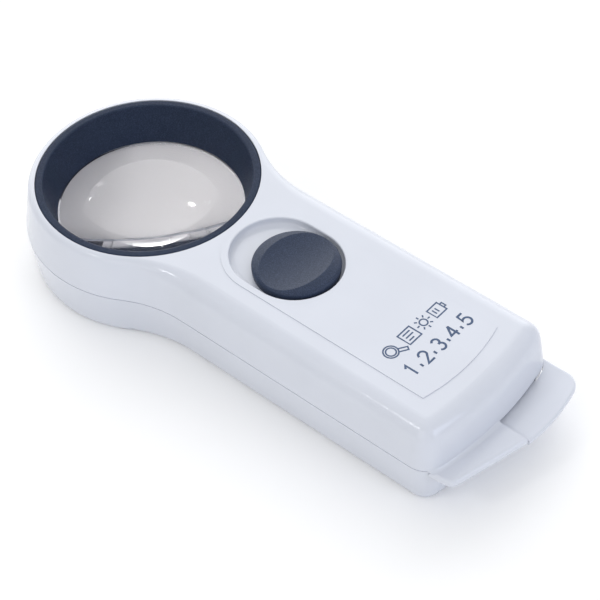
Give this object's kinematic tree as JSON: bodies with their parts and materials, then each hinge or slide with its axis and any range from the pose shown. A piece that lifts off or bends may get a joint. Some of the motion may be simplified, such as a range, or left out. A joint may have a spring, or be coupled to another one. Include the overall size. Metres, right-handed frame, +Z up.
{
  "type": "low vision magnifier",
  "caption": "Illuminated hand-held low vision magnifier: deep-set convex lens in a round dark-hooded head, flat battery handle, thumb slide switch, offset finger lips.",
  "frame": {"origin": "bottom centre of the bounding box, on the surface the magnifier lies on", "axes": "+X from the lens head to the tail of the handle, +Z up out of the lens hood"},
  "size_m": [0.1644, 0.0698, 0.0287],
  "materials": {
    "casing_white": "gloss moulded ABS",
    "door_white": "gloss moulded ABS",
    "hood_dark": "fine matte",
    "lens_clear": "polished optical acrylic",
    "baffle_dark": "fine matte",
    "reflector_white": "satin",
    "window_clear": "clear polycarbonate",
    "board_green": "solder-mask laminate",
    "led_white": "silicone dome on ceramic",
    "chip_black": "moulded epoxy",
    "button_dark": "fine spark-eroded matte",
    "inner_white": "acetal",
    "inner_brown": "phenolic laminate",
    "inner_black": "moulded",
    "spring_brass": "rolled",
    "spring_steel": "rolled",
    "screw_steel": "zinc plated",
    "contact_nickel": "nickel plated",
    "lead_red": "flexible PVC",
    "lead_yellow": "flexible PVC",
    "lead_black": "flexible PVC",
    "cell_sleeve": "printed sleeve"
  },
  "bodies": {
    "casing": {"battery_1": "cell_sleeve", "battery_2": "cell_sleeve", "battery_3": "cell_sleeve", "battery_cradle": "inner_black", "battery_spring_1": "contact_nickel", "battery_spring_2": "contact_nickel", "battery_spring_3": "contact_nickel", "bridge_contact_front": "contact_nickel", "bridge_contact_rear": "contact_nickel", "case_screws": "screw_steel", "cradle_screws": "screw_steel", "detent_spring": "spring_steel", "fixed_contact_left": "spring_brass", "fixed_contact_right": "spring_brass", "front_baffle": "baffle_dark", "hinge_pin": "screw_steel", "lamp_board": "board_green", "lamp_driver": "chip_black", "lamp_led": "led_white", "lamp_reflector": "reflector_white", "lamp_window": "window_clear", "lead_battery": "lead_red", "lead_lamp": "lead_yellow", "lead_return": "lead_black", "lens": "lens_clear", "lens_hood": "hood_dark", "lower_casing": "casing_white", "negative_terminal": "contact_nickel", "positive_terminal": "contact_nickel", "switch_base": "inner_brown", "switch_screws": "screw_steel", "upper_casing": "casing_white"},
    "switch_slider": {"slide_button": "button_dark", "switch_carrier": "inner_white", "moving_contact": "spring_brass"},
    "door": {"battery_door": "door_white"}
  },
  "joints": [
    {"name": "button_slide", "type": "slide", "parent": "casing", "child": "switch_slider", "axis": [-1, 0, 0], "range_m": [0, 0.006]},
    {"name": "door_hinge", "type": "hinge", "parent": "casing", "child": "door", "pos_m": [0.0067, 0, 0.0019], "axis": [0, 1, 0], "range_deg": [0, 80]}
  ]
}
